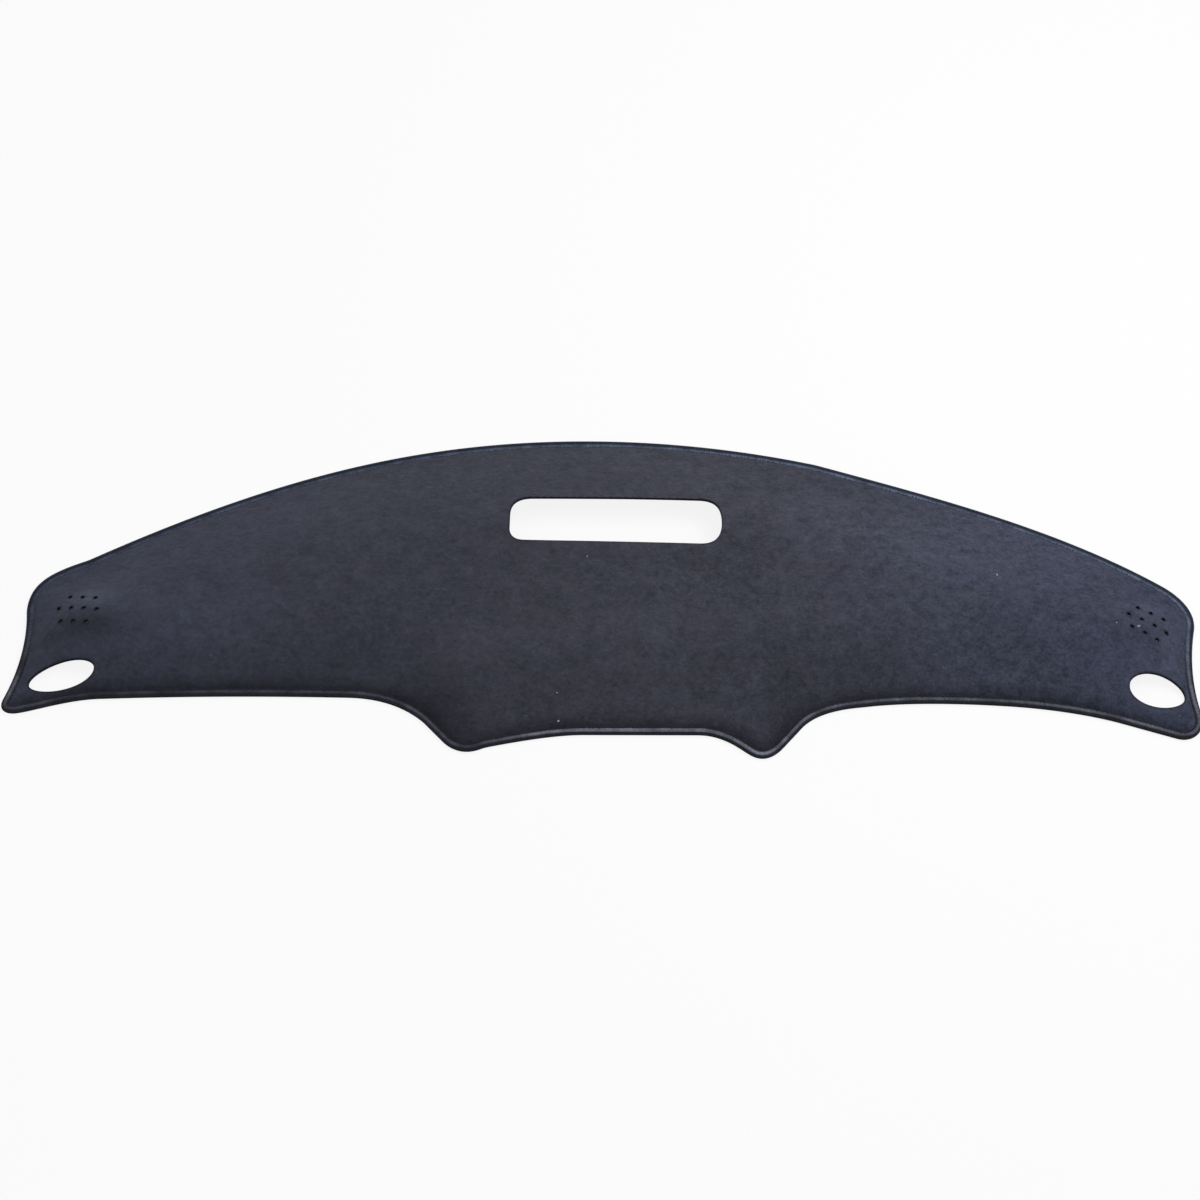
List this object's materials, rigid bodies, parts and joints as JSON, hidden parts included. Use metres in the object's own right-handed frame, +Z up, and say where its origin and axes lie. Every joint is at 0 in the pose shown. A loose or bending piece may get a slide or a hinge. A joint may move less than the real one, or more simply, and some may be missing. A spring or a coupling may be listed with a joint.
{
  "type": "dashboard cover mat",
  "caption": "Moulded felt mat that covers the top of a car dashboard, cut open over its vents and speakers, with a sewn edge all round.",
  "frame": {"origin": "middle of the mat's footprint, on the surface that it lies on", "axes": "+X along the mat's width, to the right as seen from its front edge; +Y towards the back edge, under the windscreen; +Z up"},
  "size_m": [1.4169, 0.4377, 0.0458],
  "materials": {
    "felt": "matt needle-punched pile, bluish charcoal",
    "yarn": "soft twisted polyester yarn, charcoal"
  },
  "bodies": {
    "root": {"felt_mat": "felt", "edge_stitching": "yarn"}
  },
  "joints": []
}
